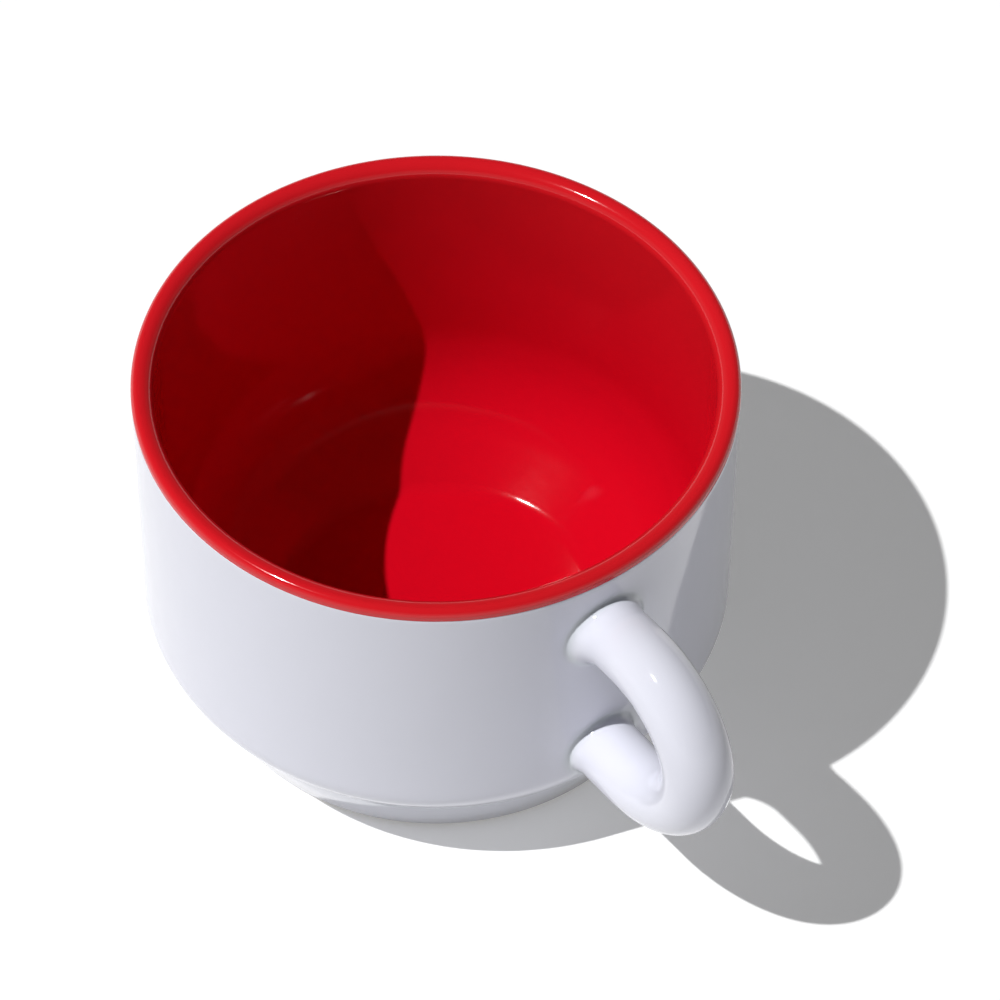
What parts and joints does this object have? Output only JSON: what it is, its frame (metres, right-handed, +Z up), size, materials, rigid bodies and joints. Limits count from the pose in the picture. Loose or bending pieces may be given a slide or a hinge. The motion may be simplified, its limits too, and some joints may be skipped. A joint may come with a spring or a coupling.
{
  "type": "coffee cup",
  "caption": "Low round stacking coffee cup with a stepped foot and a loop handle, red glaze inside and over the lip, white glaze outside.",
  "frame": {"origin": "the middle of the whole cup's footprint, handle included, in the plane that the foot ring stands on. The round body's own axis is the vertical line at X = -14.3 mm, Y = 0", "axes": "+Z up, towards the open rim. +X towards the handle, which lies in the plane Y = 0"},
  "size_m": [0.1194, 0.0908, 0.0625],
  "materials": {
    "clay": "matte",
    "slip": "matte",
    "red_glaze": "gloss",
    "white_glaze": "gloss"
  },
  "bodies": {
    "root": {"clay_body": "clay", "handle": "clay", "upper_handle_joint": "slip", "lower_handle_joint": "slip", "inside_glaze": "red_glaze", "outside_glaze": "white_glaze", "base_glaze": "white_glaze"}
  },
  "joints": []
}
